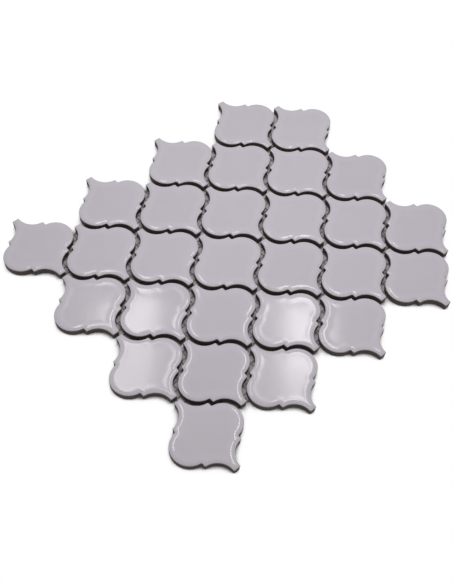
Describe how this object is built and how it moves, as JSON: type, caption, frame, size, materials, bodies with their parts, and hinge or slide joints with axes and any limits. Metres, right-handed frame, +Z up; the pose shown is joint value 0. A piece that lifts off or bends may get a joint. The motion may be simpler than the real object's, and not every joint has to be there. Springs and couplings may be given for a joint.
{
  "type": "arabesque mosaic tile sheet",
  "caption": "Sheet of glazed ceramic arabesque lantern tiles in staggered rows on a glass-fibre backing net, with open joints and interlocking edges.",
  "frame": {"origin": "under the middle of the sheet, on the surface that it lies on", "axes": "+X along the rows of tiles, lobe to lobe; +Y along the tips of the tiles; +Z up, out of the glazed face"},
  "size_m": [0.2774, 0.2452, 0.0065],
  "materials": {
    "glazed_tile": "glossy light grey glaze over a dark brown body",
    "glass_fibre_net": "matte woven glass-fibre yarn"
  },
  "bodies": {
    "root": {"tile_row_1": "glazed_tile", "tile_row_2": "glazed_tile", "tile_row_3": "glazed_tile", "tile_row_4": "glazed_tile", "tile_row_5": "glazed_tile", "tile_row_6": "glazed_tile", "tile_row_7": "glazed_tile", "net_warp_yarns": "glass_fibre_net", "net_weft_yarns": "glass_fibre_net"}
  },
  "joints": []
}
